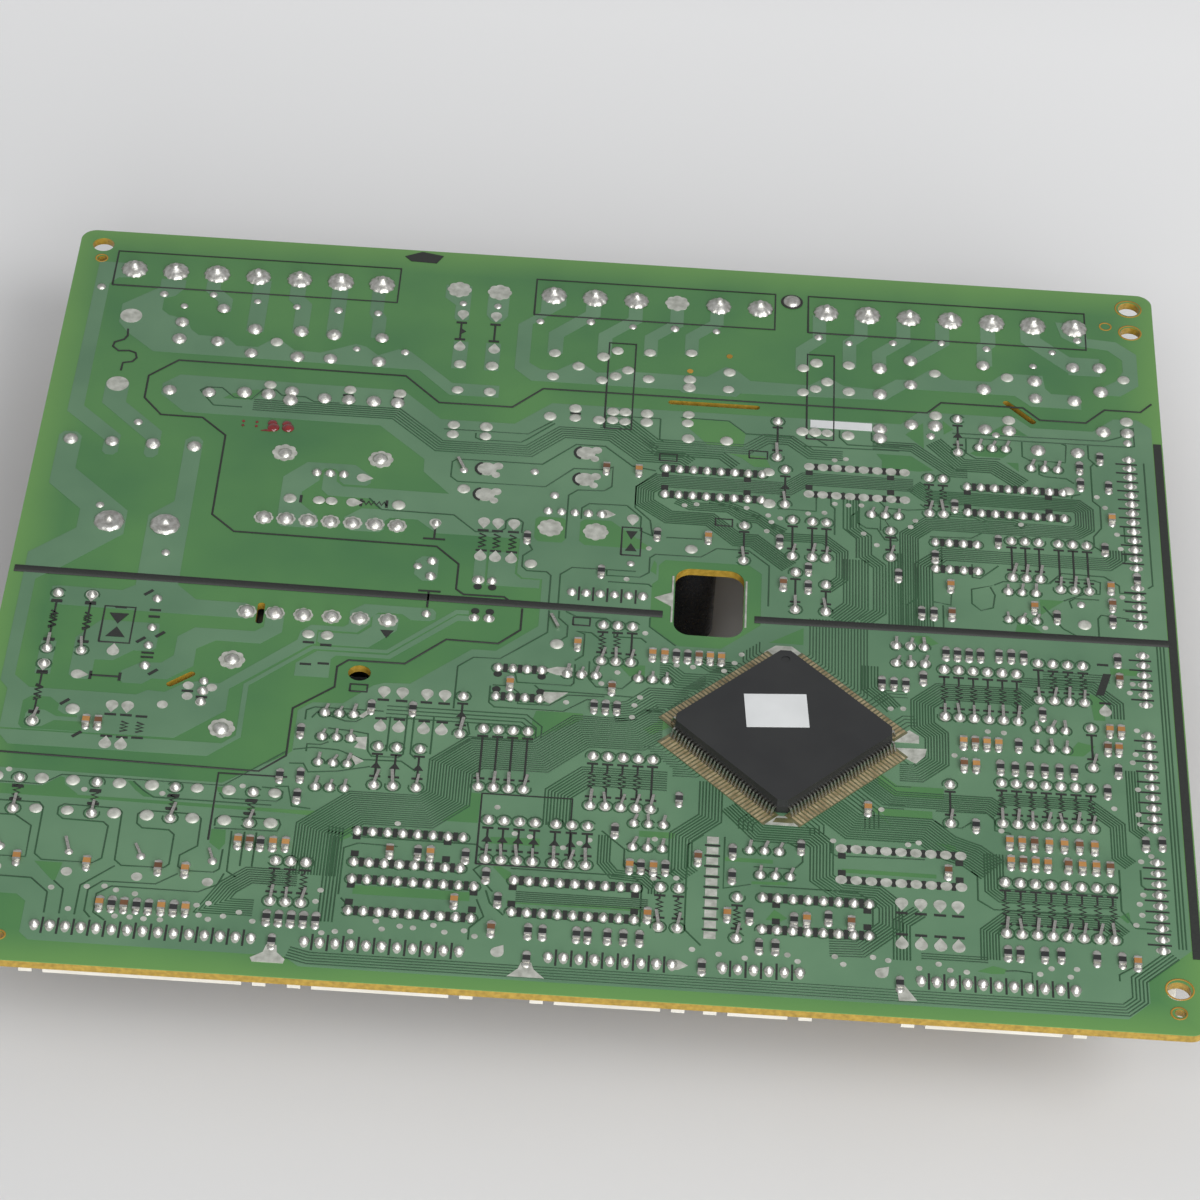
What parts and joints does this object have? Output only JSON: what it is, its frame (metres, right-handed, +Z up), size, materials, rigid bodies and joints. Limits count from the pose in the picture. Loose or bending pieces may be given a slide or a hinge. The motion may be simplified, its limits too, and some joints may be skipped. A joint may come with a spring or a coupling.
{
  "type": "appliance control circuit board",
  "caption": "Mains-powered appliance control board seen from its solder side, with a square flat pack turned by 45 degrees and hanging through-hole parts.",
  "frame": {"origin": "on the table under the middle of the board, which lies component side down", "axes": "+Z up, out of the solder side; +Y towards the edge with the power connectors; +X to the right when that edge is at the back"},
  "size_m": [0.209, 0.194, 0.0311],
  "materials": {
    "green_laminate": "satin",
    "black_moulding": "matte",
    "white_nylon": "satin",
    "relay_cover": "satin",
    "tinned_metal": "satin",
    "solder": "satin",
    "heat_sink_aluminium": "satin",
    "ferrite": "matte",
    "black_sleeve": "satin",
    "winding_tape": "satin",
    "dipped_ceramic": "satin",
    "chip_resistor_glaze": "gloss",
    "chip_capacitor_ceramic": "satin",
    "resistor_lacquer": "satin",
    "label_paper": "matte"
  },
  "bodies": {
    "root": {"axial_leads": "tinned_metal", "bridge_rectifier": "black_moulding", "bridge_rectifier_legs": "tinned_metal", "bulk_capacitor": "black_sleeve", "capacitor_eyelets": "solder", "chip_capacitors": "chip_capacitor_ceramic", "chip_resistors": "chip_resistor_glaze", "circuit_board": "green_laminate", "controller_chip": "black_moulding", "controller_label": "label_paper", "controller_leads": "tinned_metal", "diodes": "black_moulding", "disc_capacitor_leads": "tinned_metal", "disc_capacitors": "dipped_ceramic", "dual_inline_chips": "black_moulding", "dual_inline_legs": "tinned_metal", "electrolytic_capacitors": "black_sleeve", "ferrite_beads": "ferrite", "front_header_1": "white_nylon", "front_header_2": "white_nylon", "front_header_3": "white_nylon", "front_header_4": "white_nylon", "front_header_5": "white_nylon", "header_pins": "tinned_metal", "heat_sink_pins": "tinned_metal", "inner_header": "white_nylon", "jumper_wires": "tinned_metal", "motor_relays": "relay_cover", "narrow_relays": "relay_cover", "optocoupler": "black_moulding", "optocoupler_legs": "tinned_metal", "power_header_left": "white_nylon", "power_header_middle": "white_nylon", "power_header_right": "white_nylon", "power_package_leads": "tinned_metal", "power_pins": "tinned_metal", "power_resistors": "resistor_lacquer", "power_solder_joints": "solder", "rectifier_diode": "black_moulding", "rectifier_heat_sink": "heat_sink_aluminium", "relay_pins": "tinned_metal", "resistors": "resistor_lacquer", "side_header_1": "white_nylon", "side_header_2": "white_nylon", "side_header_3": "white_nylon", "side_header_4": "white_nylon", "side_header_5": "white_nylon", "slim_relays": "relay_cover", "small_transistors": "black_moulding", "switch_heat_sink": "heat_sink_aluminium", "switching_controller": "black_moulding", "transformer_bobbin": "black_moulding", "transformer_core": "ferrite", "transformer_pins": "tinned_metal", "transformer_winding": "winding_tape", "transistor_leads": "tinned_metal", "voltage_regulator": "black_moulding"}
  },
  "joints": []
}
